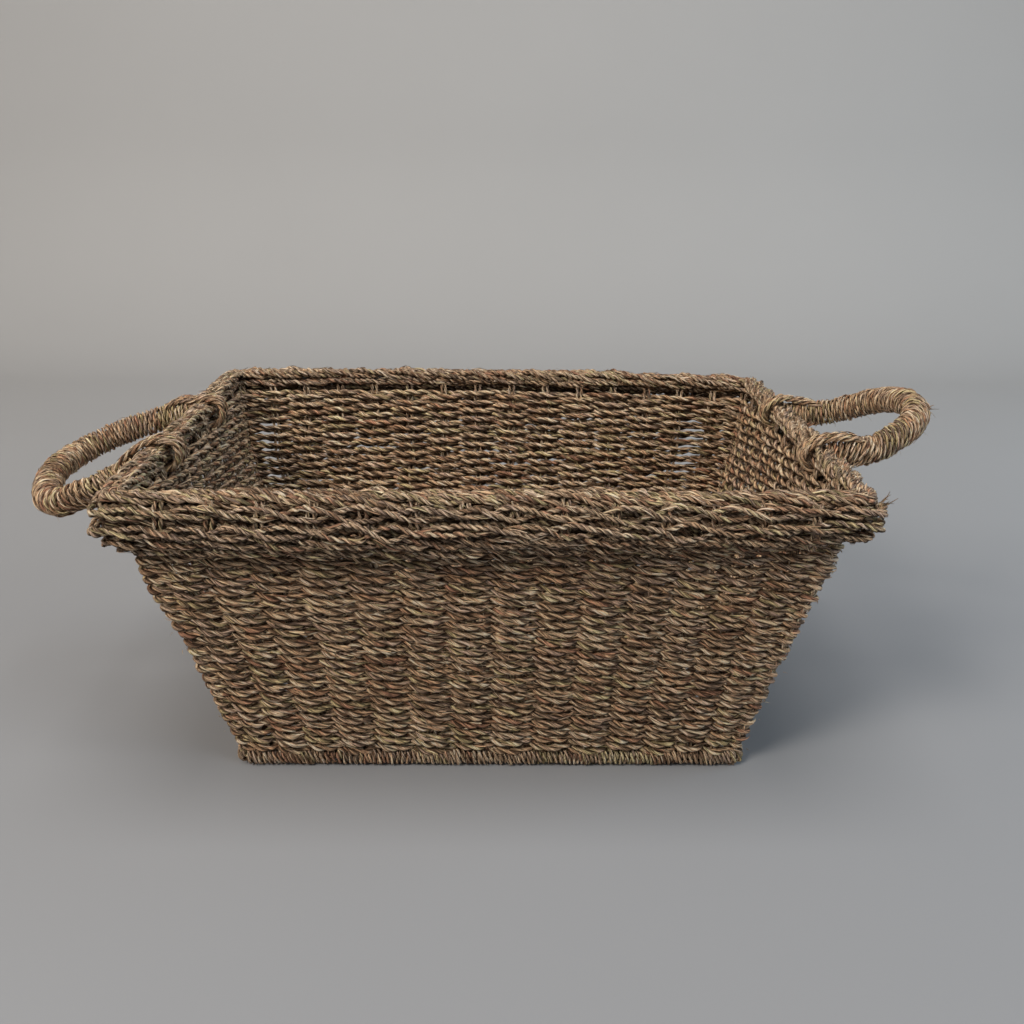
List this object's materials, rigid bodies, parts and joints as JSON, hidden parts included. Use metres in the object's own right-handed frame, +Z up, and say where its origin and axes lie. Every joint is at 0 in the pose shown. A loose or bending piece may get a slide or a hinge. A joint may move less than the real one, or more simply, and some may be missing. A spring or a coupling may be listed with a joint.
{
  "type": "storage basket",
  "caption": "Rectangular woven seagrass storage basket with flared walls, a plaited rim cuff and wrapped loop handles that swing.",
  "frame": {"origin": "on the floor, under the middle of the base", "axes": "+X along the length, towards the right handle; +Y towards the back long wall; +Z up"},
  "size_m": [0.5539, 0.2996, 0.207],
  "materials": {
    "seagrass_weave": "matte",
    "seagrass_rim": "matte",
    "seagrass_handle": "matte",
    "seagrass_stake": "matte",
    "frame_wire": "satin"
  },
  "bodies": {
    "basket": {"base_wire": "frame_wire", "base_edge_binding": "seagrass_rim", "base_stakes": "seagrass_stake", "base_weave": "seagrass_weave", "stakes_front": "seagrass_stake", "stakes_back": "seagrass_stake", "stakes_left": "seagrass_stake", "stakes_right": "seagrass_stake", "stakes_corner": "seagrass_stake", "weft_course_01": "seagrass_weave", "weft_course_02": "seagrass_weave", "weft_course_03": "seagrass_weave", "weft_course_04": "seagrass_weave", "weft_course_05": "seagrass_weave", "weft_course_06": "seagrass_weave", "weft_course_07": "seagrass_weave", "weft_course_08": "seagrass_weave", "weft_course_09": "seagrass_weave", "weft_course_10": "seagrass_weave", "weft_course_11": "seagrass_weave", "weft_course_12": "seagrass_weave", "weft_course_13": "seagrass_weave", "weft_course_14": "seagrass_weave", "weft_course_15": "seagrass_weave", "weft_course_16": "seagrass_weave", "weft_course_17": "seagrass_weave", "weft_course_18": "seagrass_weave", "weft_course_19": "seagrass_weave", "weft_course_20": "seagrass_weave", "weft_course_21": "seagrass_weave", "weft_course_22": "seagrass_weave", "weft_course_23": "seagrass_weave", "weft_course_24": "seagrass_weave", "weft_course_25": "seagrass_weave", "weft_course_26": "seagrass_weave", "weft_course_27": "seagrass_weave", "rim_wire": "frame_wire", "rim_roll": "seagrass_rim", "rim_turned_stakes_long": "seagrass_stake", "rim_turned_stakes_end": "seagrass_stake", "rim_plait_top": "seagrass_rim", "rim_plait_upper": "seagrass_rim", "rim_plait_lower": "seagrass_rim", "rim_plait_hem": "seagrass_rim"},
    "left_handle": {"left_handle_core": "seagrass_stake", "left_handle_wrap": "seagrass_handle", "left_front_lashing": "seagrass_handle", "left_back_lashing": "seagrass_handle"},
    "right_handle": {"right_handle_core": "seagrass_stake", "right_handle_wrap": "seagrass_handle", "right_front_lashing": "seagrass_handle", "right_back_lashing": "seagrass_handle"}
  },
  "joints": [
    {"name": "left_handle_swing", "type": "hinge", "parent": "basket", "child": "left_handle", "pos_m": [-0.19, 0, 0.1805], "axis": [0, 1, 0], "range_deg": [-12, 93]},
    {"name": "right_handle_swing", "type": "hinge", "parent": "basket", "child": "right_handle", "pos_m": [0.19, 0, 0.1805], "axis": [0, -1, 0], "range_deg": [-43, 62]}
  ]
}
